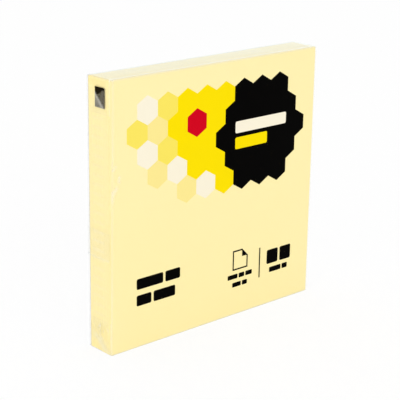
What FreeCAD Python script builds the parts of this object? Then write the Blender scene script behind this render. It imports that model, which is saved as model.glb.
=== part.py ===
import FreeCAD, Part
import math
import os

# Pad of square sticky notes in a clear folded film, standing on its bottom edge.
# Millimetres. Front towards -Y, +X to the right, +Z up, origin at the bottom centre.

# Notes and backing
note_side = 76.0
sheet_count = 100
sheet_thickness = 0.09
backing_thickness = 0.15

# Film, how it stands off the notes, and how far an end flap stops short of the opposite edge
film = 0.05
film_bend = 0.2
front_slack = 0.05
end_slack = 0.15
flap_short = 0.2
lap_height = 8.0
lap_middle = 31.0
ink = 0.02

# Cell pattern on the front, measured from the edges of the notes; rows above and below its middle
cell_width = 7.0
print_from_top = 5.35
print_from_right = 4.3
print_rows = 2
dark_ring_count = 2
yellow_step_count = 5
tint_step_count = 9
red_cell_index = (-4, 1)

# Bars in the middle of the dark cluster
cluster_bar_height = 3.4
cluster_bar_spacing = 1.2
cluster_bar_inset = 7.5
pale_bar_length = 20.0
yellow_bar_length = 12.5

# Heading bars, from the left edge and the bottom edge of the notes
heading_from_left = 8.5
heading_bottom = 12.3
heading_height = 3.1
heading_spacing = 1.7
heading_upper = (9.4, 5.4)
heading_lower = (5.2, 7.8)
bar_gap = 0.8
bar_corner = 0.5

# Page sign with two lines of small bars under it, from the right edge and the bottom edge
page_from_right = 31.7
page_bottom = 14.0
page_width = 6.0
page_height = 6.1
page_fold = 2.3
stroke = 0.45
size_spacing = 1.2
size_height = 1.4
size_upper = (3.9, 2.2, 2.6)
size_lower = (3.4, 2.0)
small_gap = 0.5
small_corner = 0.3

# Divider, two bold blocks and the small bars under them
divider_from_right = 21.0
divider_bottom = 9.4
divider_height = 9.3
blocks_from_right = 17.8
blocks_bottom = 12.8
blocks_height = 4.4
bold_blocks = (4.6, 4.5)
under_spacing = 1.2
under_height = 1.6
under_blocks = (4.8, 2.2)

# Register mark on the left end, measured from the back edge and the top edge
mark_from_back = 3.5
mark_width = 4.0
mark_from_top = 2.55
mark_height = 5.4

# Places worked out from the sizes above
block_depth = sheet_count * sheet_thickness
front_gap = film_bend + front_slack
wrap_depth = film + front_gap + block_depth + backing_thickness + film_bend + film
flap_reach = wrap_depth - flap_short
whole_depth = ink + wrap_depth + film
front_outer = ink - whole_depth / 2
front_inner = front_outer + film
block_front = front_inner + front_gap
block_back = block_front + block_depth
backing_back = block_back + backing_thickness
back_inner = backing_back + film_bend
back_outer = back_inner + film
block_bottom = film
block_top = block_bottom + note_side
top_inner = block_top + film_bend
top_outer = top_inner + film
half_side = note_side / 2
end_inner = half_side + end_slack
cell_radius = cell_width / math.sqrt(3)
row_step = 1.5 * cell_radius
cluster_x = half_side - print_from_right - (dark_ring_count + 0.5) * cell_width
cluster_z = block_top - print_from_top - cell_radius - print_rows * row_step
tint_names = ("cream", "light", "pale")


def box(low, high):
    """Solid between two opposite corners."""
    size = [high[i] - low[i] for i in range(3)]
    return Part.makeBox(size[0], size[1], size[2], FreeCAD.Vector(*low))


def prism(points, direction):
    """Polygon swept along a vector."""
    corners = [FreeCAD.Vector(*point) for point in points]
    outline = Part.makePolygon(corners + corners[:1])
    return Part.Face(outline).extrude(FreeCAD.Vector(*direction))


def rounded(block, axis, radius):
    """Block with the four edges along one axis rounded."""
    edges = [e for e in block.Edges if abs(e.tangentAt(e.FirstParameter).dot(axis)) > 0.9]
    return block.makeFillet(radius, edges)


def fused(solids):
    """One shape from solids that touch."""
    return solids[0].multiFuse(solids[1:]).removeSplitter()


# Notes and backing

def note_block():
    """All the notes as one solid."""
    return box((-half_side, block_front, block_bottom), (half_side, block_back, block_top))


def backing_sheet():
    """Coated sheet that covers the glue of the last note."""
    return box((-half_side, block_back, block_bottom), (half_side, backing_back, block_top))


# Folded film. An end outline is a list of (depth from the back edge, height) points.

def layer(number):
    """Distance from the middle to the inner face of a fold layer, 1 being next to the notes."""
    return end_inner + (number - 1) * film


def on_end(outline, distance, side, thickness):
    """Plate over an outline on one end, growing outwards from a distance."""
    points = [(side * distance, back_outer - depth, height) for depth, height in outline]
    return prism(points, (side * thickness, 0, 0))


def from_front(outline):
    """The same outline, its depth counted from the front edge instead."""
    return [(wrap_depth - depth, height) for depth, height in outline]


def upside_down(outline):
    """The same outline at the bottom instead of the top."""
    return [(depth, top_outer - height) for depth, height in outline]


def flap_outline():
    """Long flap: its slanted ends start at the corners and run at 45 degrees."""
    high = top_outer - flap_reach
    return [(0, 0), (flap_reach, flap_reach), (flap_reach, high), (0, top_outer)]


def gusset_outline():
    """Triangle of film folded back under the slanted end of a flap."""
    low = top_outer - flap_reach
    return [(0, top_outer), (flap_reach, low), (0, low)]


def tuck_outline():
    """Short flap that comes down first, over the whole depth."""
    low = top_outer - flap_reach
    return [(0, top_outer), (wrap_depth, top_outer), (wrap_depth, low), (0, low)]


def seal_outline():
    """Strip where the two long flaps overlap and are welded together."""
    near = wrap_depth - flap_reach
    high = top_outer - flap_reach
    return [(near, flap_reach), (flap_reach, flap_reach), (flap_reach, high), (near, high)]


def folded_end(side):
    """Tucks, gussets, flaps and weld of one end, from the notes outwards."""
    layers = [(3, from_front(flap_outline())), (4, seal_outline()), (5, flap_outline())]
    for turned in (list, upside_down):
        layers.append((1, turned(tuck_outline())))
        layers.append((2, turned(from_front(gusset_outline()))))
        layers.append((4, turned(gusset_outline())))
    return [on_end(outline, layer(number), side, film) for number, outline in layers]


def side_panel(low_y, high_y, number):
    """Front or back panel, long enough to turn into the flap in a fold layer."""
    reach = layer(number + 1)
    return box((-reach, low_y, 0), (reach, high_y, top_outer))


def film_wrap():
    """The whole film: a sleeve with a lap on the back, folded over at both ends."""
    along = FreeCAD.Vector(1, 0, 0)
    end_outer = layer(6)
    bar_shape = box((-end_outer, front_outer, 0), (end_outer, back_outer, top_outer))
    outer = rounded(bar_shape, along, film_bend + film)
    tube_space = box((-layer(2), front_outer, 0), (layer(2), back_outer, top_outer))
    hollow_shape = box((-end_outer, front_inner, film), (end_outer, back_inner, top_inner))
    tube = outer.common(tube_space).cut(rounded(hollow_shape, along, film_bend))
    folds = [side_panel(front_outer, front_inner, 3), side_panel(back_inner, back_outer, 5)]
    for side in (-1, 1):
        folds.extend(folded_end(side))
    lap_low = lap_middle - lap_height / 2
    lap_high = lap_middle + lap_height / 2
    lap = box((-end_outer, back_outer, lap_low), (end_outer, back_outer + film, lap_high))
    return fused([tube] + [fold.common(outer) for fold in folds] + [lap])


# Printed fields, all lying on the outside of the film

def front_field(points):
    """Ink inside an outline of (x, z) points on the front."""
    return prism([(x, front_outer, z) for x, z in points], (0, -ink, 0))


def bar(left, bottom, length, height, corner):
    """Ink bar with rounded corners."""
    block = box((left, front_outer - ink, bottom), (left + length, front_outer, bottom + height))
    return rounded(block, FreeCAD.Vector(0, 1, 0), corner)


def bar_row(left, bottom, lengths, height, gap, corner):
    """Bars of different lengths in one line."""
    bars = []
    for length in lengths:
        bars.append(bar(left, bottom, length, height, corner))
        left = left + length + gap
    return bars


def middle_row(middle, bottom, lengths, height):
    """Line of small bars around a middle."""
    whole = sum(lengths) + small_gap * (len(lengths) - 1)
    return bar_row(middle - whole / 2, bottom, lengths, height, small_gap, small_corner)


def cell_middle(column, row):
    """Middle of a cell, counted from the middle of the dark cluster on a slanted grid."""
    return cluster_x + cell_width * (column + row / 2), cluster_z + row_step * row


def cell(column, row):
    """Six-sided cell with two upright sides."""
    x, z = cell_middle(column, row)
    angles = [math.radians(60 * i + 30) for i in range(6)]
    return front_field([(x + cell_radius * math.cos(a), z + cell_radius * math.sin(a)) for a in angles])


def cell_ink(column, row):
    """Name of the ink of a cell, or None where there is no cell."""
    ring = max(abs(column), abs(row), abs(column + row))
    if ring <= dark_ring_count:
        return "black"
    if (column, row) == red_cell_index:
        return "red"
    step = 2 * (ring - dark_ring_count - 1) + print_rows - row
    if 2 * column + row > 0 or step > tint_step_count:
        return None
    if step <= yellow_step_count:
        return "yellow"
    return tint_names[(column + 2 * row) % len(tint_names)]


def cells_by_ink():
    """Every cell of the pattern, sorted into its ink."""
    cells = {name: [] for name in ("black", "yellow", "red") + tint_names}
    reach = dark_ring_count + print_rows + tint_step_count
    for row in range(-print_rows, print_rows + 1):
        for column in range(-reach, reach + 1):
            name = cell_ink(column, row)
            if name:
                cells[name].append(cell(column, row))
    return cells


def cluster_bars():
    """Pale bar over a yellow bar, in the middle of the dark cluster."""
    left = cluster_x - (dark_ring_count + 0.5) * cell_width + cluster_bar_inset
    high = cluster_z + cluster_bar_spacing / 2
    low = cluster_z - cluster_bar_spacing / 2 - cluster_bar_height
    pale_bar = bar(left, high, pale_bar_length, cluster_bar_height, bar_corner)
    yellow_bar = bar(left, low, yellow_bar_length, cluster_bar_height, bar_corner)
    return pale_bar, yellow_bar


def heading_bars():
    """Two lines of bold bars."""
    left = heading_from_left - half_side
    high = heading_bottom + heading_height + heading_spacing
    bars = bar_row(left, high, heading_upper, heading_height, bar_gap, bar_corner)
    return bars + bar_row(left, heading_bottom, heading_lower, heading_height, bar_gap, bar_corner)


def page_outline(inset):
    """Page with its upper right corner cut off, moved inwards by an inset."""
    left = half_side - page_from_right + inset
    right = half_side - page_from_right + page_width - inset
    low = page_bottom + inset
    high = page_bottom + page_height - inset
    slant = page_fold - inset * (2 - math.sqrt(2))
    return [(left, low), (right, low), (right, high - slant), (right - slant, high), (left, high)]


def page_group():
    """Outline of a sheet with a turned corner, over two lines of small bars."""
    sheet = front_field(page_outline(0)).cut(front_field(page_outline(stroke)))
    right = half_side - page_from_right + page_width
    high = page_bottom + page_height
    corner = [(right, high - page_fold), (right - page_fold, high), (right - page_fold, high - page_fold)]
    middle = right - page_width / 2
    upper = page_bottom - size_spacing - size_height
    lower = upper - size_spacing - size_height
    bars = middle_row(middle, upper, size_upper, size_height)
    bars += middle_row(middle, lower, size_lower, size_height)
    return [fused([sheet, front_field(corner)])] + bars


def block_group():
    """Upright divider, two bold blocks and the small bars under them."""
    high = divider_bottom + divider_height
    left = half_side - divider_from_right
    right = left + stroke
    divider = front_field([(left, divider_bottom), (right, divider_bottom), (right, high), (left, high)])
    start = half_side - blocks_from_right
    blocks = bar_row(start, blocks_bottom, bold_blocks, blocks_height, bar_gap, bar_corner)
    middle = start + (sum(bold_blocks) + bar_gap) / 2
    under = blocks_bottom - under_spacing - under_height
    return [divider] + blocks + middle_row(middle, under, under_blocks, under_height)


def mark_on_layer(number, inside, outside):
    """The part of the register mark that lies inside some outlines and outside others."""
    low = top_outer - mark_from_top - mark_height
    high = low + mark_height
    far = mark_from_back + mark_width
    outline = [(mark_from_back, low), (far, low), (far, high), (mark_from_back, high)]
    distance = layer(number + 1)
    mark = on_end(outline, distance, -1, ink)
    for cover in inside:
        mark = mark.common(on_end(cover, distance, -1, film))
    for cover in outside:
        mark = mark.cut(on_end(cover, distance, -1, film))
    return mark.Solids


def register_mark():
    """Dark mark on the left end, one piece for each fold layer that it lies on."""
    over = flap_outline()
    under = from_front(over)
    on_tuck = mark_on_layer(1, [], [over, under])
    return on_tuck + mark_on_layer(3, [under], [over]) + mark_on_layer(5, [over], [])


def printed_nodes():
    """Each ink as one group of solids."""
    cells = cells_by_ink()
    pale_bar, yellow_bar = cluster_bars()
    dark_field = fused(cells["black"]).cut(pale_bar).cut(yellow_bar)
    groups = {
        "print_black": [dark_field] + heading_bars() + page_group() + block_group(),
        "print_yellow": [fused(cells["yellow"]), yellow_bar],
        "print_cream": cells["cream"] + [pale_bar],
        "print_light": cells["light"],
        "print_pale": cells["pale"],
        "print_red": cells["red"],
        "register_mark": register_mark(),
    }
    return {name: Part.makeCompound(solids) for name, solids in groups.items()}


nodes = {"note_block": note_block(), "backing_sheet": backing_sheet(), "film_wrap": film_wrap()}
nodes.update(printed_nodes())
os.makedirs("parts", exist_ok=True)
for name, shape in nodes.items():
    shape.exportStep("parts/" + name + ".step")
    print(name, "solids", len(shape.Solids), "valid", shape.isValid(), "volume", round(shape.Volume, 3))
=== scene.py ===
import bmesh
import bpy
import math
import numpy as np
from mathutils import Matrix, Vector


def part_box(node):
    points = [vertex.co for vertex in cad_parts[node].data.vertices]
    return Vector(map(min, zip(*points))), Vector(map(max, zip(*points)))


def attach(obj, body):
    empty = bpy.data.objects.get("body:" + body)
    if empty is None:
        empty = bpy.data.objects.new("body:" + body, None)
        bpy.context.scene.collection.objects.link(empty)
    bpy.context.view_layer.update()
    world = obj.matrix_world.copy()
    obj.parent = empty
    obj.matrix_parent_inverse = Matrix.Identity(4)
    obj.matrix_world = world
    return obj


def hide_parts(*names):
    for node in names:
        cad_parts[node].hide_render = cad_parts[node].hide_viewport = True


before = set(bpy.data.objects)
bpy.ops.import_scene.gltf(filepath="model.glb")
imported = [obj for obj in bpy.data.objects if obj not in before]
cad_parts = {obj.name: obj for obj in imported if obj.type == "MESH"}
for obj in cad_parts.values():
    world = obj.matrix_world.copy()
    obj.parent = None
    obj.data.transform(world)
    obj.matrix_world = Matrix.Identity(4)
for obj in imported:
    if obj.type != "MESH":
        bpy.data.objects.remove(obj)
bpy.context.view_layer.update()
mm = 0.001  # shapes are worked out in millimetres and put into meshes in metres


def corners(node):
    # lowest and highest corner of a CAD node, in millimetres
    low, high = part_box(node)
    return np.array(low) / mm, np.array(high) / mm


blockLow, blockHigh = corners("note_block")
wrapLow, wrapHigh = corners("film_wrap")


# Camera

camera = {
    "azimuth": -42.202,  # degrees, 0 looks along +Y
    "elevation": 17.513,
    "roll": 0.871,
    "distance": 362.21,
    "target": (-2.358, 0.0, 36.148),
    "lens": 115.2,
    "sensor": 36.0,
    "nearest": 10.0,  # nothing closer shows
}


def aimed(spot, right, back):
    # matrix of a camera or lamp at a spot, from its right and backward directions
    turn = Matrix(np.column_stack([right, np.cross(back, right), back]).tolist()).to_4x4()
    return Matrix.Translation(list(map(float, spot))) @ turn


def placeCamera():
    # at the given distance from the target, level and then rolled about the line of sight
    az, el, roll = (math.radians(camera[key]) for key in ("azimuth", "elevation", "roll"))
    back = np.array([math.sin(az) * math.cos(el), -math.cos(az) * math.cos(el), math.sin(el)])
    level = np.array([math.cos(az), math.sin(az), 0.0])
    up = np.cross(back, level)
    right = math.cos(roll) * level + math.sin(roll) * up
    data = bpy.data.cameras.new("camera")
    data.lens = camera["lens"]
    data.sensor_width = camera["sensor"]
    data.clip_start = camera["nearest"] * mm
    view = bpy.data.objects.new("camera", data)
    bpy.context.scene.collection.objects.link(view)
    view.matrix_world = aimed((np.array(camera["target"]) + camera["distance"] * back) * mm, right, back)
    bpy.context.scene.camera = view


placeCamera()
print("camera placed")


# Helpers for shapes, in millimetres

def smooth(t):
    # t squared times 3 - 2t, held at 0 below 0 and at 1 above 1
    t = np.clip(t, 0, 1)
    return t * t * (3 - 2 * t)


def window(t, low, high, rise, fall):
    # 0 outside two limits and 1 between them, with a soft rise and fall inside
    return smooth((t - low) / rise) * smooth((high - t) / fall)


def bell(off, width):
    # 1 on a line, falling off to both sides as the exponential of minus the square of off / width
    return np.exp(-(off / width) ** 2)


def plateau(t, power):
    # 1 in the middle and 0 at -1 and 1, flatter for a higher power
    return 1 - np.abs(np.clip(t, -1, 1)) ** power


def waves(a, b, wavelength, seed, count=7):
    # sum of straight sine waves in random directions, mostly between -1 and 1
    random = np.random.default_rng(seed)
    angles = random.uniform(0, math.tau, count)
    lengths = wavelength * random.uniform(0.6, 1.7, count)
    starts = random.uniform(0, math.tau, count)
    total = 0 * (a + b)
    for angle, length, start in zip(angles, lengths, starts):
        total = total + np.sin(math.tau * (a * math.cos(angle) + b * math.sin(angle)) / length + start)
    return total / count ** 0.5


def gridNumbers(points):
    # numbers of a grid's points, by row and column
    rows, columns = points.shape[:2]
    return np.arange(rows * columns).reshape(rows, columns)


def putPiece(name, mesh):
    # new piece on the part's one body
    piece = bpy.data.objects.new(name, mesh)
    bpy.context.scene.collection.objects.link(piece)
    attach(piece, "root")
    return piece


def putMesh(name, points, faces):
    # new piece from an array of points in millimetres and a list of faces
    mesh = bpy.data.meshes.new(name)
    mesh.from_pydata((points * mm).reshape(-1, 3).tolist(), [], faces)
    mesh.update()
    return putPiece(name, mesh)


def addWall(piece, thickness, offset):
    # closes a surface into a thin layer, half on each side of it at offset 0 and all outside at 1
    wall = piece.modifiers.new("wall", "SOLIDIFY")
    wall.thickness = thickness * mm
    wall.offset = offset


def giveValues(piece, name, values):
    # one number for each point, which the material reads as an attribute
    layer = piece.data.attributes.new(name, "FLOAT", "POINT")
    layer.data.foreach_set("value", np.ascontiguousarray(values, np.float32).ravel())


# Helpers for materials

def newTree(owner):
    # empty nodes of a material or a world
    owner.use_nodes = True
    owner.node_tree.nodes.clear()
    return owner.node_tree


def newMaterial(name):
    material = bpy.data.materials.new(name)
    return material, newTree(material)


def setInputs(tree, node, inputs):
    # inputs, by name or number, are set to a value or linked to a socket
    for key, value in inputs.items():
        if isinstance(value, bpy.types.NodeSocket):
            tree.links.new(value, node.inputs[key])
        else:
            node.inputs[key].default_value = value


def addNode(tree, kind, inputs):
    node = tree.nodes.new("ShaderNode" + kind)
    setInputs(tree, node, inputs)
    return node


def calc(tree, operation, *values, clamp=False):
    # math node on sockets or numbers
    node = tree.nodes.new("ShaderNodeMath")
    node.operation = operation
    node.use_clamp = clamp
    setInputs(tree, node, dict(enumerate(values)))
    return node.outputs[0]


def objectPlace(tree):
    # Object coordinates, in metres
    return tree.nodes.new("ShaderNodeTexCoord").outputs["Object"]


def axisParts(tree, vector):
    return addNode(tree, "SeparateXYZ", {0: vector}).outputs


def attribute(tree, name):
    node = tree.nodes.new("ShaderNodeAttribute")
    node.attribute_name = name
    return node.outputs["Fac"]


def noise(tree, scale, detail, roughness=0.5, stretch=(1, 1, 1), turn=(0, 0, 0)):
    # noise with so many periods to a metre, stretched along each axis and then turned
    place = addNode(tree, "Mapping", {"Vector": objectPlace(tree), "Scale": stretch, "Rotation": turn})
    look = {"Vector": place.outputs[0], "Scale": scale, "Detail": detail, "Roughness": roughness}
    return addNode(tree, "TexNoise", look).outputs[0]


def between(tree, factor, low, high):
    # colour that goes from one to another, a colour or a socket, with the factor
    node = tree.nodes.new("ShaderNodeMix")
    node.data_type = "RGBA"
    high = (*high, 1) if isinstance(high, tuple) else high
    setInputs(tree, node, {"Factor": factor, "A": (*low, 1), "B": high})
    return node.outputs["Result"]


def bumped(tree, height, strength, depth):
    look = {"Height": height, "Strength": strength, "Distance": depth * mm}
    return addNode(tree, "Bump", look).outputs[0]


def mixed(tree, share, first, second):
    # shader that goes from one node's to another's with the share
    return addNode(tree, "MixShader", {0: share, 1: first.outputs[0], 2: second.outputs[0]})


def setSurface(tree, shader, owner="Material"):
    addNode(tree, "Output" + owner, {"Surface": shader.outputs[0]})


def opaque(tree, colour, look):
    # shader with a colour socket and a dictionary's roughness and shine
    inputs = {"Base Color": colour, "Roughness": look["roughness"], "Specular IOR Level": look["shine"]}
    return addNode(tree, "BsdfPrincipled", inputs)


# Notes: a stack of sheets whose cut edges differ a little

notes = {
    "sheets": 100,
    "sidePoints": 24,  # points along each side of a ring
    "ringPlaces": (0.08, 0.84, 0.92),  # a sheet's edges and its groove, as shares of the pitch
    "stray": 0.035,  # how far single sheets lie inside the block's outline, at most
    "drift": 0.05,  # slow lean of the stack's sides
    "driftWave": 9.0,
    "driftTwist": 0.15,  # how fast the lean changes round the block
    "groove": 0.02,  # depth of the line between two sheets
    "colour": (0.98, 0.857, 0.44),
    "darkColour": (0.965, 0.832, 0.40),
    "roughness": 0.85,
    "shine": 0.15,
    "clouds": 90.0,
    "cloudShare": 0.45,
    "streaks": (6, 5200, 6),
    "streakShare": 0.35,
    "fibres": 2600.0,
    "fibreRoughness": 0.65,
    "fibreBump": 0.35,
    "fibreDepth": 0.02,
}


def blockOutline(side):
    # points round the block's front, with so many along each side, and the way in which each is pulled in:
    # square to its side, and along both at a corner
    cornersX = np.array([blockLow[0], blockHigh[0], blockHigh[0], blockLow[0]])
    cornersZ = np.array([blockLow[2], blockLow[2], blockHigh[2], blockHigh[2]])
    along = np.arange(side) / side
    x = (cornersX[:, None] * (1 - along) + np.roll(cornersX, -1)[:, None] * along).ravel()
    z = (cornersZ[:, None] * (1 - along) + np.roll(cornersZ, -1)[:, None] * along).ravel()
    inward = np.array([(0, 1), (-1, 0), (0, -1), (1, 0)])
    sideOf = np.repeat(np.arange(4), side)
    before = np.roll(sideOf, 1)
    atCorner = (sideOf != before)[:, None]
    way = inward[sideOf] + np.where(atCorner, inward[before], 0)
    return x, z, way[:, 0], way[:, 1]


def noteStack():
    # rings round the block, three for each sheet: two at the sheet's edge and one in the groove behind it.
    # A ring's points lie on the block's outline, pulled in by the sheet's stray, the groove and the drift
    count, side = notes["sheets"], notes["sidePoints"]
    x, z, inX, inZ = blockOutline(side)
    total = blockHigh[1] - blockLow[1]
    depth = (np.arange(count)[:, None] + np.array(notes["ringPlaces"])).ravel() * (total / count)
    depth[0], depth[-1] = 0, total
    groove = np.tile([0, 0, 1], count) * notes["groove"]
    groove[-1] = 0
    stray = np.random.default_rng(4).uniform(0, notes["stray"], (count, 4))
    pull = np.repeat(np.repeat(stray, 3, axis=0) + groove[:, None], side, axis=1)
    lean = waves(depth[:, None], (x + z) * notes["driftTwist"], notes["driftWave"], 11)
    pull = pull + notes["drift"] * (0.5 + 0.5 * np.clip(lean, -1, 1))
    y = (blockLow[1] + depth)[:, None]
    points = np.stack(np.broadcast_arrays(x + inX * pull, y, z + inZ * pull), -1)
    number = gridNumbers(points)
    after = np.roll(number, -1, axis=1)
    edges = np.stack([number[1:], after[1:], after[:-1], number[:-1]], -1).reshape(-1, 4).tolist()
    ends = [number[0].tolist(), number[-1, ::-1].tolist()]
    return putMesh("notes", points, edges + ends)


def notePaper():
    # uncoated paper: faint cloudy colour, fine fibres, and long streaks along the sheets at the cut edges
    material, tree = newMaterial("notePaper")
    clouds = calc(tree, "MULTIPLY", noise(tree, notes["clouds"], detail=4.0), notes["cloudShare"])
    streaks = noise(tree, 1.0, detail=2.0, stretch=notes["streaks"])
    tone = calc(tree, "ADD", clouds, calc(tree, "MULTIPLY", streaks, notes["streakShare"]), clamp=True)
    paper = opaque(tree, between(tree, tone, notes["colour"], notes["darkColour"]), notes)
    fibres = noise(tree, notes["fibres"], detail=3.0, roughness=notes["fibreRoughness"])
    setInputs(tree, paper, {"Normal": bumped(tree, fibres, notes["fibreBump"], notes["fibreDepth"])})
    setSurface(tree, paper)
    return material


def makeNotes():
    piece = noteStack()
    piece.data.materials.append(notePaper())
    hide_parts("note_block")


makeNotes()
print("notes stacked")


# Backing sheet: the CAD sheet with a coated card's finish

backing = {
    "colour": (0.90, 0.895, 0.87),
    "shadeColour": (0.86, 0.855, 0.83),
    "edgeAndGapShadeColour": (0.46, 0.46, 0.45),  # raw cut edge, painted darker as the shade in the gap between card and film
    "roughness": 0.42,
    "shine": 0.4,
    "patches": 45.0,
    "grain": 1800.0,
    "grainBump": 0.25,
    "grainDepth": 0.01,
}


def backingCard():
    # coated white card: soft patches of tone on its two faces, which look along Y, raw edges painted darker
    # with the shade
    #  of the gap between card and film, and a fine grain that shows in the gloss
    material, tree = newMaterial("backingCard")
    patches = noise(tree, backing["patches"], detail=3.0)
    face = between(tree, patches, backing["colour"], backing["shadeColour"])
    normal = axisParts(tree, tree.nodes.new("ShaderNodeNewGeometry").outputs["Normal"])
    onFace = calc(tree, "GREATER_THAN", calc(tree, "ABSOLUTE", normal["Y"]), 0.5)
    card = opaque(tree, between(tree, onFace, backing["edgeAndGapShadeColour"], face), backing)
    grain = noise(tree, backing["grain"], detail=2.0)
    setInputs(tree, card, {"Normal": bumped(tree, grain, backing["grainBump"], backing["grainDepth"])})
    setSurface(tree, card)
    return material


def finishBacking():
    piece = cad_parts["backing_sheet"]
    piece.data.materials.clear()
    piece.data.materials.append(backingCard())


finishBacking()
print("backing finished")


# Film: one clear sheet folded round the pad like a parcel, lapped on the back.
# A span is low, high, rise and fall of a window. A line is its start and end, half width and height or
# whiteness, with x and z on the front, y and z on the left end

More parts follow.
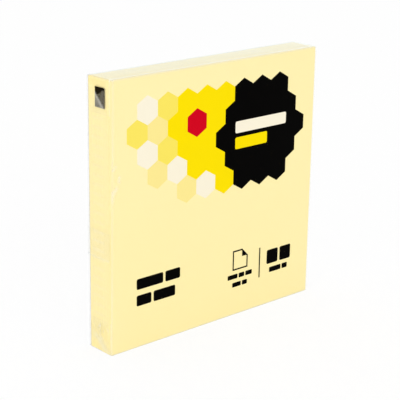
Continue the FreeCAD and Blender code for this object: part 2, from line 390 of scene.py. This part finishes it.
film = {
    "thickness": 0.03,
    "bend": 0.32,  # radius of a turn
    "endGap": 0.15,  # from the notes' ends to the innermost layer's turn
    "flapShort": 0.2,  # how far an end flap stops short of the opposite edge
    "layerStep": 0.05,  # from one folded layer to the next, the tuck being layer 1
    "frontLayer": 2.5,  # between the front panel's gusset and its flap
    "backLayer": 4.5,
    "flapAbove": 0.5,  # how far a flap lies above that, and its gusset below
    "creaseWidth": 0.3,  # over which a flap turns into its gusset
    "layerRise": 0.25,  # over which the layers part beside a tuck
    "firstStep": 0.1,  # mesh spacing beside a fold
    "stepGrowth": 1.25,
    "foldStep": 0.5,
    "openStep": 1.1,  # mesh spacing in the open
    "frontStep": 0.6,  # and up the front
    "smoothAngle": 50,  # degrees
    "lapLow": 27.0,
    "lapHigh": 35.0,
    "lapLift": 0.07,
    "lapGap": 0.5,  # above the lap the film stays lifted so far, and then comes down over the slope
    "lapSlope": 2.5,
    "frontLift": 0.06,  # how far the front bulges past the CAD film
    "frontRipple": 0.03,
    "frontWave": 13.0,
    "frontRise": 0.35,  # how much height counts in the waves, which makes them run upwards
    "backLift": 0.08,
    "backRipple": 0.015,
    "backWave": 15.0,
    "backRise": 0.4,
    "topLift": 0.10,
    "topRipple": 0.02,
    "topWave": 15.0,
    "endLift": 0.06,
    "endRipple": 0.024,
    "endWave": 9.0,
    "innerShare": 0.3,  # of an end's lift, and what each layer adds to it
    "layerShare": 0.14,
    "crumpleSpan": (0.0, 9.5, 2.0, 3.0),  # low on the left end
    "crumple": 0.027,
    "crumpleRipple": 0.0225,
    "crumpleWave": 2.6,
    "edgeSpan": (9.0, 66.0, 8.0, 8.0),  # loose turn at the left end's back edge
    "edgeLift": 0.4,
    "frontCreases": [
        (-37.9, 57.0, -35.8, 52.2, 0.45, 0.05),
        (-36.6, 52.6, -34.9, 49.0, 0.4, 0.05),
        (-37.9, 50.4, -35.2, 44.6, 0.45, 0.06),
        (-37.6, 46.6, -34.2, 47.9, 0.4, 0.04),
        (-38.0, 69.5, -30.5, 64.0, 0.8, 0.06),
        (-38.0, 7.5, -29.0, 12.5, 0.9, 0.06),
        (38.0, 68.0, 31.0, 64.5, 0.8, 0.06),
        (38.0, 8.0, 30.0, 11.5, 0.9, 0.06),
        (-37.5, 30.0, -33.5, 24.0, 0.6, 0.07),
        (37.8, 40.0, 34.5, 33.0, 0.6, 0.07),
    ],
    "endCreases": [
        (3.6, 9.6, 0.8, 7.0, 0.6, 0.035),
        (2.6, 8.0, 1.4, 4.0, 0.6, 0.035),
        (-0.4, 8.8, -2.4, 6.2, 0.6, 0.03),
        (1.8, 5.4, -2.0, 1.1, 0.6, 0.045),
    ],
    # whitening of the film, with painted highlights: the glints, the line and the turns are white that stands
    # for glare
    "hazeAndHighlights": {
        "most": 0.9,
        "cut": 0.01,
        "cutWidth": 0.35,
        "flap": 0.012,  # each long flap and its gusset
        "flapStart": 0.3,
        "flapRise": 0.4,
        "crease": 0.04,
        "markCrease": 0.01,  # the creases that cross the mark
        "creaseWidth": 0.25,
        "highGlint": 0.12,  # painted glints beside the left end's creases, back and high, front and low
        "lowGlint": 0.16,
        "glintOff": 0.3,
        "glintWidth": 0.55,
        "glintSpan": (3.0, 8.0, 1.5, 1.5),
        # painted highlights along the box's turns, at the ends and between front and top
        "turn": 0.10,
        "leftTurn": 0.0,  # the turn between front and left end, which hardly shows
        "turnWidth": 0.45,
        "longTurn": 0.18,
        "line": 0.1425,  # painted highlight beside the front's left edge, leaning a little
        "lineRipple": 0.0475,
        "lineWave": 17.0,
        "lineOff": 0.62,
        "lineLean": 0.011,
        "lineWidth": 0.3,
        "seam": 0.12,
        "seamWidth": 0.5,
        # painted highlights: short white strokes at the front's left edge
        "glints": [
            (-35.7, 53.6, -37.6, 52.1, 0.4, 0.2),
            (-34.9, 50.9, -35.6, 48.0, 0.4, 0.34),
            (-35.5, 48.0, -37.6, 45.4, 0.5, 0.34),
            (-37.3, 47.2, -37.6, 42.6, 0.5, 0.2),
        ],
    },
    "endRound": 0.2,  # how far past an end's turn the open panels' gloss goes on
    "longTurnWidth": 0.42,
    "gloss": 0.8,  # mirrored share, against bare film
    "topGloss": 1.6,
    "turnGloss": 4.0,  # glare along the turn between front and top
    "underGloss": 0.04,  # on the folded ends, where layers lie close together
    "outerLayer": 4.2,  # from here on a folded layer lies outermost and shines again
    "outerRise": 0.6,
    "creaseGap": 0.5,  # beside a crease the film bends away and hardly shines
    "wedgeGloss": 4.2,  # glare on the tuck beside the left end's lower fold
    "wedgeSpan": (0.2, 6.0, 0.6, 2.5),
    "wedgeOff": 1.6,
    "wedgeWidth": 2.0,
    "glossColour": (0.955, 1.0, 0.965),
    "glossRoughness": 0.09,
    "ior": 1.49,
    "milk": (0.95, 0.95, 0.945),
    "clear": (0.9995, 0.9995, 0.999),
    "clingShadeTint": (0.989, 0.987, 0.978),  # tint of the film where it clings to the sheets' edges, darker to paint shade there too
    "clingEdge": 0.8,
    "clingStart": 0.3,
    "clingRise": 0.5,
    "patchShade": 0.209,  # painted shade in blots on a low patch of the left end, where the film is crumpled
    "patchRipple": 0.171,
    "patchWave": 1.7,
    "patchSpan": (2.8, 8.4, 2.4, 0.8),
    "patchEdge": 1.2,
    "spotCrinkle": 0.35,  # a spot at the front's left edge, whose white streaks are partly painted glints
    "spotAcross": (-38.6, -34.4, 0.6, 1.2),
    "spotUp": (43.0, 55.0, 2.0, 2.0),
    "lowCrinkle": 0.3,
    "lowSpan": (2.5, 9.0, 2.5, 1.5),
    "weldWidth": 4.8,
    "weldPitch": 2.6,
    "weldBump": 0.5,
    "weldHaze": 0.03,
    "ripples": 420.0,
    "slivers": (900, 900, 420),
    "sliverTurn": (0, 0.65, 0),
    "sliverLevel": 0.57,  # slivers above this level show as streaks
    "sliverContrast": 9.0,
    "sliverHaze": 0.3,
    "sliverBump": 3.5,
    "bump": 0.5,
    "bumpDepth": 0.03,
}
half = film["thickness"] / 2
yFront = wrapLow[1] + half
yBack = wrapHigh[1] - film["lapLift"]
flapReach = yBack - yFront - film["flapShort"]
lapLow, lapHigh = film["lapLow"], film["lapHigh"]
zLow, zHigh = wrapLow[2] + half, wrapHigh[2] - half
foldStart = blockHigh[0] + film["endGap"]  # half the length at which the innermost layer turns


def edgeSteps(reach):
    # distances from a fold, which grow by a fixed ratio up to the fold's step
    gaps = film["firstStep"] * film["stepGrowth"] ** np.arange(200)
    steps = np.append(0, np.cumsum(np.minimum(gaps, film["foldStep"])))
    steps = steps[: np.searchsorted(steps, reach) + 1]
    return steps * reach / steps[-1]


def fromFold(length):
    # distances from a fold up to a length, with the flap's steps first
    near = edgeSteps(flapReach)
    count = max(1, round((length - flapReach) / film["openStep"]))
    return np.append(near, np.linspace(flapReach, length, count + 1)[1:])


def panelSteps(length, openStep):
    # distances across a panel with a fold on both sides
    reach = min(flapReach, length / 2)
    near = edgeSteps(reach)
    count = round((length - 2 * reach) / openStep)
    middle = np.linspace(reach, length - reach, count + 1)[1:-1] if count else np.zeros(0)
    far = (length - near)[::-1]
    return np.concatenate([near, middle, far if count else far[1:]])


def girthRows():
    # rows of the sheet: up the back from the lap, over the top, down the front, under the bottom and up to
    # the lap. Each row has y and z on a square section, d to the nearest long fold, side (1 back, -1 front,
    # 0 between) and lap (1 where it lies outside the lap)
    up = zHigh - fromFold(zHigh - lapLow)[:0:-1]
    across = panelSteps(yBack - yFront, film["openStep"])
    down = zHigh - panelSteps(zHigh - zLow, film["frontStep"])[1:-1]
    rise = zLow + fromFold(lapHigh - zLow)[1:]
    level = np.ones(len(across))
    y = [yBack + 0 * up, yBack - across, yFront + 0 * down, yFront + across, yBack + 0 * rise]
    z = [up, zHigh * level, down, zLow * level, rise]
    side = [0 * up + 1, 0 * level, 0 * down - 1, 0 * level, 0 * rise + 1]
    lap = [1 - smooth((up - lapHigh - film["lapGap"]) / film["lapSlope"])] + [0 * part for part in z[1:]]
    y, z, side, lap = (np.concatenate(part)[:, None] for part in (y, z, side, lap))
    d = np.where(side == 0, 0, np.minimum(zHigh - z, z - zLow))
    return y, z, d, side, lap


def sheetColumns():
    # columns of the sheet: along x between both ends' turns, and on past them to the flaps' cut edges
    near = edgeSteps(flapReach)
    middle = panelSteps(2 * foldStart, film["openStep"]) - foldStart
    return np.concatenate([-foldStart - near[:0:-1], middle, foldStart + near[1:]])[None, :]


def ridge(a, b, line):
    # raised line from one point to another: a bell across it, fading over its first and last 0.3
    startA, startB, endA, endB, width, height = line
    length = math.hypot(endA - startA, endB - startB)
    ua, ub = (endA - startA) / length, (endB - startB) / length
    t = (a - startA) * ua + (b - startB) * ub
    across = (a - startA) * ub - (b - startB) * ua
    return height * bell(across, width) * window(t / length, 0, 1, 0.3, 0.3)


def lift(x, y, z, layer):
    # how far the film stands off its square box. Front and back bulge in a flat dome with waves, and the
    # front has creases. Top and bottom bulge with waves, and so do the ends, more on an outer layer, with
    # crumples and creases low on the left one
    u, w = x / wrapHigh[0], (z - zHigh / 2) / (zHigh / 2)
    v = (y - (yFront + yBack) / 2) / ((yBack - yFront) / 2)
    dome = plateau(u, 6) * plateau(w, 6)
    frontWaves = waves(x, z * film["frontRise"], film["frontWave"], 21)
    front = film["frontLift"] * dome + film["frontRipple"] * dome ** 0.5 * frontWaves
    front = front + sum(ridge(x, z, line) for line in film["frontCreases"])
    backWaves = waves(x, z * film["backRise"], film["backWave"], 22)
    back = film["backLift"] * dome + film["backRipple"] * dome ** 0.5 * backWaves
    topWaves = waves(x, y, film["topWave"], 23)
    top = (1 - u ** 8) * plateau(v, 4) * (film["topLift"] + film["topRipple"] * topWaves)
    span = plateau(w, 8) * plateau(v, 4)
    end = span * (film["endLift"] + film["endRipple"] * waves(z, y, film["endWave"], 24))
    low = span * window(z, *film["crumpleSpan"])
    crumples = low * (film["crumple"] + film["crumpleRipple"] * waves(y, z, film["crumpleWave"], 25))
    left = crumples + sum(ridge(y, z, line) for line in film["endCreases"])
    end = (end + left * (x < 0)) * (film["innerShare"] + film["layerShare"] * layer)
    return front, back, top, end


def place(x, y, z, layer, extra=0.0):
    # points of a square box moved onto one with round edges, then lifted along its normal
    low = np.array([0, yFront + film["bend"], zLow + film["bend"]])
    high = np.array([0, yBack - film["bend"], zHigh - film["bend"]])
    halfLength = foldStart + film["layerStep"] * layer - film["bend"]
    inner = [np.clip(x, -halfLength, halfLength), np.clip(y, low[1], high[1]), np.clip(z, low[2], high[2])]
    inner = np.stack(np.broadcast_arrays(*inner), -1)
    outward = np.stack(np.broadcast_arrays(x, y, z), -1) - inner
    normal = outward / np.maximum(np.linalg.norm(outward, axis=-1, keepdims=True), 1e-9)
    front, back, top, end = lift(x, y, z, layer)
    nx, ny, nz = normal[..., 0], normal[..., 1], normal[..., 2]
    away = front * np.clip(-ny, 0, 1) ** 2 + back * np.clip(ny, 0, 1) ** 2
    away = away + top * np.clip(nz, 0, 1) ** 2 + end * nx ** 2
    loose = np.clip(-nx, 0, 1) ** 2 * np.clip(ny, 0, 1) ** 2
    away = away + film["edgeLift"] * loose * window(z, *film["edgeSpan"])
    return inner + normal * (film["bend"] + np.maximum(away, 0) + extra)[..., None]


def foldFaces(number, d, s):
    # two triangles for each square of the sheet, split along the crease, where d equals s
    a, b, c, e = number[:-1, :-1], number[1:, :-1], number[1:, 1:], number[:-1, 1:]
    main = (np.sign(np.diff(d, axis=0)) * np.sign(np.diff(s, axis=1)) >= 0)[..., None]
    first = np.where(main, np.stack([a, b, c], -1), np.stack([a, b, e], -1))
    second = np.where(main, np.stack([a, c, e], -1), np.stack([b, c, e], -1))
    return np.concatenate([first.reshape(-1, 3), second.reshape(-1, 3)]).tolist()


def foldedFilm():
    # columns of the sheet run along x and past both ends by s. Past an end a panel turns in at depth
    # min(s, d) and height max(s, d) from its corner, so that it is a flap where d > s and a gusset folded
    # under it where d < s; between the panels, where d is 0, it is the tuck
    y, z, d, side, lap = girthRows()
    along = sheetColumns()
    s = np.maximum(np.abs(along) - foldStart, 0)
    upper = z > (zLow + zHigh) / 2
    turned = y - side * np.minimum(s, d)
    fallen = np.maximum(s, d)
    height = np.where(upper, zHigh - fallen, zLow + fallen)
    outer = np.where(side > 0, film["backLayer"], film["frontLayer"]) - 1
    outer = outer + film["flapAbove"] * np.clip((d - s) / film["creaseWidth"], -1, 1)
    layer = 1 + outer * smooth(d / film["layerRise"]) * (side != 0)
    x = np.sign(along) * (foldStart + film["layerStep"] * layer) * np.minimum(np.abs(along) / foldStart, 1)
    points = place(x, turned, height, layer, film["lapLift"] * lap)
    piece = putMesh("foldedFilm", points, foldFaces(gridNumbers(points), d, s))
    giveValues(piece, "hazeAndHighlights", filmHazeAndHighlights(turned, height, s, d, side, along, upper, z, lap))
    giveValues(piece, "crinkle", filmCrinkle(x, height, s, side))
    giveValues(piece, "gloss", filmGloss(turned, s, d, side, along, upper, layer))
    giveValues(piece, "clingAndShade", filmClingAndShade(turned, height, s, side, along, upper))
    return piece


def offCrease(d, s):
    # 0 on a crease of the folded ends, 1 away from it
    return smooth((np.abs(d - s) - film["creaseGap"]) / film["creaseWidth"])


def filmHazeAndHighlights(y, z, s, d, side, along, upper, rowZ, lap):
    # how far the film is whitened: real haze at cut edges, on the flaps and their creases and at the lap, and
    # painted
    #  highlights beside two creases of the left end, at the box's turns, along a line and some glints at the
    #  front's left edge
    hazeAndHighlights = film["hazeAndHighlights"]
    left = along < 0
    cut = hazeAndHighlights["cut"] * smooth(1 - (flapReach - s) / hazeAndHighlights["cutWidth"])
    flap = hazeAndHighlights["flap"] * (side != 0) * smooth((s - hazeAndHighlights["flapStart"]) / hazeAndHighlights["flapRise"]) * offCrease(d, s)
    crease = np.where(left & upper, hazeAndHighlights["markCrease"], hazeAndHighlights["crease"])
    crease = crease * bell(d - s, hazeAndHighlights["creaseWidth"]) * (s > 0) * (side != 0)
    beside = hazeAndHighlights["highGlint"] * (side > 0) * upper + hazeAndHighlights["lowGlint"] * (side < 0) * ~upper
    beside = beside * window(d, *hazeAndHighlights["glintSpan"]) * left * (d >= s) * (s > 0)
    beside = beside * bell(d - s - hazeAndHighlights["glintOff"], hazeAndHighlights["glintWidth"])
    turn = np.where(left & (side < 0), hazeAndHighlights["leftTurn"], hazeAndHighlights["turn"])
    turn = turn * bell(np.abs(along) - foldStart, hazeAndHighlights["turnWidth"])
    fold = np.where(side == 0, np.minimum(y - yFront, yBack - y), d)  # distance from the nearest long turn
    longTurn = bell(fold, film["longTurnWidth"]) * ((side != 0) | (s < film["endRound"]))
    off = along + foldStart - hazeAndHighlights["lineOff"] - hazeAndHighlights["lineLean"] * (z - zHigh / 2)
    line = hazeAndHighlights["line"] + hazeAndHighlights["lineRipple"] * waves(z, 0, hazeAndHighlights["lineWave"], 41)
    line = line * bell(off, hazeAndHighlights["lineWidth"]) * (side < 0)
    glints = sum(ridge(along, z, glint) for glint in hazeAndHighlights["glints"]) * (side < 0) * (s == 0)
    seam = hazeAndHighlights["seam"] * bell(rowZ - lapLow, hazeAndHighlights["seamWidth"]) * (lap > 0.9) * (s == 0)
    total = cut + flap + crease + beside + turn + hazeAndHighlights["longTurn"] * longTurn + line + glints + seam
    return np.clip(total, 0, hazeAndHighlights["most"])


def filmCrinkle(x, z, s, side):
    # how finely the film is crinkled: in a spot at the front's left edge, where its white streaks are partly
    # painted glints, and low on the left end
    spot = film["spotCrinkle"] * window(x, *film["spotAcross"]) * window(z, *film["spotUp"]) * (side < 0)
    low = film["lowCrinkle"] * window(z, *film["lowSpan"]) * (x < 0)
    return np.where(s > 0, low, spot)


def filmGloss(y, s, d, side, along, upper, layer):
    # mirrored share: more on top and bottom than on front and back, little on the folded ends but on their
    # outermost layer, with glare along the turn between front and top and on the left end's lower tuck
    outermost = smooth((layer - film["outerLayer"]) / film["outerRise"]) * offCrease(d, s)
    folded = film["underGloss"] + (film["gloss"] - film["underGloss"]) * outermost
    flat = np.where(side == 0, film["topGloss"], film["gloss"])
    isOpen = s < film["endRound"]
    fold = np.where(side == 0, y - yFront, d)  # distance from the turn between front and top
    turn = film["turnGloss"] * bell(fold, film["longTurnWidth"]) * upper * (side < 1) * isOpen
    wedge = film["wedgeGloss"] * window(s, *film["wedgeSpan"]) * (along < 0) * (side == 0) * ~upper
    wedge = wedge * bell(y - yFront - s - film["wedgeOff"], film["wedgeWidth"])
    return np.where(isOpen, flat, folded) + turn + wedge


def filmClingAndShade(y, z, s, side, along, upper):
    # how far the film is tinted darker: where it clings to the sheets' edges on the bare part of the top
    # tucks, a tint that
    #  also paints shade there, and in blots of painted shade on a low patch of the left end, where the film
    #  is crumpled
    bare = np.minimum(y - yFront, yBack - y) - s  # depth inside the bare part of a tuck
    tuck = smooth(bare / film["clingEdge"]) * smooth((s - film["clingStart"]) / film["clingRise"])
    patch = film["patchShade"] + film["patchRipple"] * waves(y, z, film["patchWave"], 26)
    patch = patch * window(z, *film["patchSpan"]) * smooth((y - yFront) / film["patchEdge"] - 1)
    return np.clip(tuck * (side == 0) * upper + patch * (s > 0) * (along < 0), 0, 1)


def weldRibs(tree):
    # 0 to 1: ribs across the band where the sealing bar pressed both end flaps together, the positive half of
    # a sine wave up the end
    x, y, z = axisParts(tree, objectPlace(tree))
    turns = calc(tree, "MULTIPLY", z, math.tau / (film["weldPitch"] * mm))
    ribs = calc(tree, "MAXIMUM", calc(tree, "SINE", turns), 0.0)
    offHeight = calc(tree, "ABSOLUTE", calc(tree, "SUBTRACT", z, zHigh / 2 * mm))
    inBand = calc(tree, "LESS_THAN", calc(tree, "ABSOLUTE", y), film["weldWidth"] / 2 * mm)
    onEnd = calc(tree, "GREATER_THAN", calc(tree, "ABSOLUTE", x), foldStart * mm)
    inHeight = calc(tree, "LESS_THAN", offHeight, (zHigh / 2 - flapReach) * mm)
    weld = calc(tree, "MULTIPLY", calc(tree, "MULTIPLY", inBand, onEnd), inHeight)
    return calc(tree, "MULTIPLY", ribs, weld)


def clearFilm():
    # clear plastic: what is behind shows, tinted where the film clings, a darker tint that also paints shade,
    # with a mirror
    #  layer on the side that faces the eye, by Fresnel times the gloss attribute. It is whitened by the haze
    #  attribute, which also holds painted highlights, by slanted streaks where it is crinkled, partly painted
    #  glints, and by the weld's ribs
    material, tree = newMaterial("clearFilm")
    facing = tree.nodes.new("ShaderNodeNewGeometry").outputs["Backfacing"]
    facing = calc(tree, "SUBTRACT", 1.0, facing)
    crinkle = attribute(tree, "crinkle")
    slivers = noise(tree, 1.0, detail=2.0, stretch=film["slivers"], turn=film["sliverTurn"])
    ribs = weldRibs(tree)
    rough = calc(tree, "MULTIPLY", calc(tree, "MULTIPLY", slivers, crinkle), film["sliverBump"])
    height = calc(tree, "ADD", noise(tree, film["ripples"], detail=3.0), rough)
    height = calc(tree, "ADD", height, calc(tree, "MULTIPLY", ribs, film["weldBump"]))
    normal = bumped(tree, height, film["bump"], film["bumpDepth"])

    # darker tint where the film clings, which also paints shade
    tint = between(tree, attribute(tree, "clingAndShade"), film["clear"], film["clingShadeTint"])
    clear = addNode(tree, "BsdfTransparent", {"Color": tint})
    fresnel = addNode(tree, "Fresnel", {"IOR": film["ior"], "Normal": normal}).outputs[0]
    mirrored = calc(tree, "MULTIPLY", fresnel, attribute(tree, "gloss"))
    mirrored = calc(tree, "MULTIPLY", mirrored, facing, clamp=True)
    look = {"Color": (*film["glossColour"], 1), "Roughness": film["glossRoughness"], "Normal": normal}
    glossy = mixed(tree, mirrored, clear, addNode(tree, "BsdfGlossy", look))

    # white streaks where crinkled: crinkle whitening, and at the front's spot partly painted glints
    sharp = calc(tree, "SUBTRACT", slivers, film["sliverLevel"])
    sharp = calc(tree, "MULTIPLY", sharp, film["sliverContrast"], clamp=True)
    streaks = calc(tree, "MULTIPLY", calc(tree, "MULTIPLY", sharp, crinkle), film["sliverHaze"])
    white = calc(tree, "ADD", attribute(tree, "hazeAndHighlights"), calc(tree, "MULTIPLY", ribs, film["weldHaze"]))
    white = calc(tree, "MULTIPLY", calc(tree, "ADD", white, streaks), facing, clamp=True)
    milk = addNode(tree, "BsdfDiffuse", {"Color": (*film["milk"], 1)})
    setSurface(tree, mixed(tree, white, glossy, milk))
    return material


def makeFilm():
    piece = foldedFilm()
    piece.data.shade_smooth()
    piece.data.set_sharp_from_angle(angle=math.radians(film["smoothAngle"]))
    piece.data.materials.append(clearFilm())
    addWall(piece, film["thickness"], 0)
    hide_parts("film_wrap")


makeFilm()
print("film folded")


# Print: each ink's fields from the CAD node, laid on the film

inks = {
    "thickness": 0.02,
    "gap": 0.012,
    "step": 1.6,  # spacing of the cuts that let a field follow the film
    "mergeGap": 0.001,
    "cutGap": 0.0001,
    "flatAngle": 0.01,  # radians, below which two faces are one
    "facing": 0.9,  # least share of a front face's normal along -Y
    "roughness": 0.3,
    "shine": 0.008,
    "mottle": 260.0,
    "grain": 3000.0,
    "grainBump": 0.2,
    "grainDepth": 0.01,
    "colours": {
        "black": ((0.0011, 0.001, 0.0009), (0.0018, 0.0016, 0.0014)),
        "yellow": ((0.92, 0.71, 0.001), (0.90, 0.695, 0.002)),
        "cream": ((0.90, 0.837, 0.672), (0.89, 0.827, 0.657)),
        "light": ((0.90, 0.748, 0.12), (0.89, 0.733, 0.112)),
        "pale": ((0.915, 0.773, 0.285), (0.905, 0.763, 0.275)),
        "red": ((0.61, 0.002, 0.014), (0.585, 0.002, 0.013)),
    },
}


def inkFilm(name):
    # printed ink: even colour with a faint mottle, a soft sheen and a very fine grain
    material, tree = newMaterial(name + "Ink")
    mottle = noise(tree, inks["mottle"], detail=4.0)
    ink = opaque(tree, between(tree, mottle, *inks["colours"][name]), inks)
    grain = noise(tree, inks["grain"], detail=2.0)
    setInputs(tree, ink, {"Normal": bumped(tree, grain, inks["grainBump"], inks["grainDepth"])})
    setSurface(tree, ink)
    return material


def flatFields(node):
    # the front faces of a CAD node's solids, merged and then cut into strips both ways
    work = bmesh.new()
    work.from_mesh(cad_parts[node].data)
    bmesh.ops.remove_doubles(work, verts=work.verts, dist=inks["mergeGap"] * mm)
    work.normal_update()
    hidden = [face for face in work.faces if face.normal.y > -inks["facing"]]
    bmesh.ops.delete(work, geom=hidden, context="FACES")
    bmesh.ops.dissolve_limit(work, angle_limit=inks["flatAngle"], verts=work.verts, edges=work.edges)
    low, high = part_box(node)
    step = inks["step"] * mm
    for axis in (0, 2):
        for cut in np.arange(low[axis] + step / 2, high[axis], step):
            spot, normal = np.zeros(3), np.zeros(3)
            spot[axis], normal[axis] = cut, 1
            whole = list(work.verts) + list(work.edges) + list(work.faces)
            gap = inks["cutGap"] * mm
            bmesh.ops.bisect_plane(work, geom=whole, dist=gap, plane_co=spot, plane_no=normal)
    return work


def layInk(name):
    # front fields moved onto the film's outside, each a thin closed layer of ink
    node = "print_" + name
    mesh = bpy.data.meshes.new(name + "Ink")
    work = flatFields(node)
    work.to_mesh(mesh)
    work.free()
    flat = np.empty(3 * len(mesh.vertices), np.float32)
    mesh.vertices.foreach_get("co", flat)
    x, _, z = flat.astype(float).reshape(-1, 3).T / mm
    laid = place(x, yFront, z, film["frontLayer"] + film["flapAbove"], half + inks["gap"]) * mm
    mesh.vertices.foreach_set("co", laid.astype(np.float32).ravel())
    mesh.update()
    mesh.materials.append(inkFilm(name))
    piece = putPiece(name + "Ink", mesh)
    addWall(piece, inks["thickness"], 1)
    piece.visible_diffuse = False
    piece.visible_shadow = name == "black"  # the tints let light through to the notes
    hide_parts(node)


for inkName in inks["colours"]:
    layInk(inkName)
print("front printed")


# Register mark: a dark field on the tuck of the left end, seen through the flaps folded over it

mark = {
    "layer": 1.0,
    "gap": 0.004,
    "thickness": 0.014,
    "step": 0.2,
    "roughness": 0.3,
    "shine": 0.008,
    "mottle": 2200.0,
    "mottleBase": 0.5,
    "colour": (0.010, 0.007, 0.003),
    # pale colours that paint the flaps' haze and reflection over the mark
    "thinVeil": (0.93, 0.80, 0.46),
    "thickVeil": (0.93, 0.87, 0.72),
    "thickening": 5.0,  # how fast the veil's colour goes from thin to thick
    "frontVeil": 0.095,  # share of pale veil under the front flap, painted haze and reflection
    "frontDrop": 1.4,  # where that flap's crease starts, and how steeply it falls
    "frontSlope": 0.6,
    "backVeil": 0.155,  # and under the back flap, which lies over it
    "backDrop": 0.55,
    "edge": 0.3,
    "creaseGlint": 0.2,  # painted glint beside the back flap's crease
    "creaseOff": 0.55,
    "creaseWidth": 0.85,
}


def markVeil(y, z):
    # how much the folded film over the mark pales it: painted haze and reflection of the flaps, and a painted
    # glint beside the
    #  back crease. Each flap begins at its crease, which falls from the top corner, the back one at 45
    #  degrees
    fromFront = zHigh - z - mark["frontDrop"] - mark["frontSlope"] * (y - yFront)
    fromBack = zHigh - z - mark["backDrop"] - (yBack - y)
    underFront, underBack = smooth(fromFront / mark["edge"]), smooth(fromBack / mark["edge"])
    beside = mark["creaseGlint"] * bell(fromBack - mark["creaseOff"], mark["creaseWidth"])
    return mark["frontVeil"] * underFront * (1 - underBack) + (mark["backVeil"] + beside) * underBack


def markInk():
    # black print with a fine mottle, paler by the veil attribute, which paints in the flaps' haze and
    # reflection
    material, tree = newMaterial("markInk")
    veil = attribute(tree, "veil")
    thick = calc(tree, "MULTIPLY", veil, mark["thickening"], clamp=True)
    veilColour = between(tree, thick, mark["thinVeil"], mark["thickVeil"])
    mottle = calc(tree, "ADD", noise(tree, mark["mottle"], detail=3.0), mark["mottleBase"])
    colour = between(tree, calc(tree, "MULTIPLY", veil, mottle), mark["colour"], veilColour)
    setSurface(tree, opaque(tree, colour, mark))
    return material


def makeMark():
    # grid over the CAD mark's depth and height, laid on the tuck
    low, high = corners("register_mark")
    across = np.linspace(low[1], high[1], round((high[1] - low[1]) / mark["step"]) + 1)[:, None]
    upward = np.linspace(low[2], high[2], round((high[2] - low[2]) / mark["step"]) + 1)[None, :]
    x = -(foldStart + film["layerStep"] * mark["layer"])
    points = place(x, across, upward, mark["layer"], half + mark["gap"])
    number = gridNumbers(points)
    faces = np.stack([number[:-1, :-1], number[:-1, 1:], number[1:, 1:], number[1:, :-1]], -1)
    piece = putMesh("registerMark", points, faces.reshape(-1, 4).tolist())
    giveValues(piece, "veil", markVeil(across, upward))
    piece.data.materials.append(markInk())
    addWall(piece, mark["thickness"], 1)
    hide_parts("register_mark")


makeMark()
print("mark laid")


# Studio: white floor and background, an even light and three soft lamps

studio = {
    "floorSize": 6.0,
    "floorColour": (0.99, 0.99, 0.99),
    "whitening": 0.85,  # share of plain white in what the eye sees of the floor
    "daylight": 0.86,
    "clearLayers": 32,  # so many see-through surfaces a ray may cross
    "lamps": {
        "key": {"spot": (-0.7, -2.6, 1.2), "size": 1.8, "power": 13.1},
        "side": {"spot": (-0.77, -0.23, 0.15), "size": 0.2, "power": 0.93},
        "back": {"spot": (0.3, 1.0, 2.36), "size": 1.6, "power": 3.5},
    },
}


def eyeRays(tree):
    # 1 for what the camera sees, straight or in gloss or through glass
    rays = tree.nodes.new("ShaderNodeLightPath").outputs
    seen = calc(tree, "MAXIMUM", rays["Is Glossy Ray"], rays["Is Transmission Ray"])
    return calc(tree, "MAXIMUM", rays["Is Camera Ray"], seen)


def floorWhite():
    # pale matt paint, which the eye sees blended with plain white
    material, tree = newMaterial("floorWhite")
    paint = addNode(tree, "BsdfDiffuse", {"Color": (*studio["floorColour"], 1)})
    white = addNode(tree, "Emission", {"Strength": 1.0})
    share = calc(tree, "MULTIPLY", eyeRays(tree), studio["whitening"])
    setSurface(tree, mixed(tree, share, paint, white))
    return material


def makeFloor():
    # one level square
    reach = studio["floorSize"] / 2
    mesh = bpy.data.meshes.new("floor")
    mesh.from_pydata([(-reach, -reach, 0), (reach, -reach, 0), (reach, reach, 0), (-reach, reach, 0)], [],
                     [(0, 1, 2, 3)])
    mesh.materials.append(floorWhite())
    floor = bpy.data.objects.new("floor", mesh)
    bpy.context.scene.collection.objects.link(floor)


def makeWorld():
    # even light on the object, and plain white where the eye looks past it
    world = bpy.data.worlds.new("studio")
    tree = newTree(world)
    light = addNode(tree, "Background", {"Color": (1, 1, 1, 1), "Strength": studio["daylight"]})
    white = addNode(tree, "Background", {"Color": (1, 1, 1, 1), "Strength": 1.0})
    setSurface(tree, mixed(tree, eyeRays(tree), light, white), "World")
    bpy.context.scene.world = world


def makeLamp(name, spot, size, power):
    # square area lamp aimed at the middle of the pad
    data = bpy.data.lights.new(name, "AREA")
    data.size = size
    data.energy = power
    light = bpy.data.objects.new(name, data)
    bpy.context.scene.collection.objects.link(light)
    back = np.array(spot) - (0, 0, zHigh / 2 * mm)
    back = back / np.linalg.norm(back)
    level = np.array([-back[1], back[0], 0]) / math.hypot(back[0], back[1])
    light.matrix_world = aimed(spot, level, back)


makeFloor()
makeWorld()
for lampName, lamp in studio["lamps"].items():
    makeLamp(lampName, **lamp)
bpy.context.scene.view_settings.view_transform = "Standard"
bpy.context.scene.cycles.transparent_max_bounces = studio["clearLayers"]
print("studio lit")
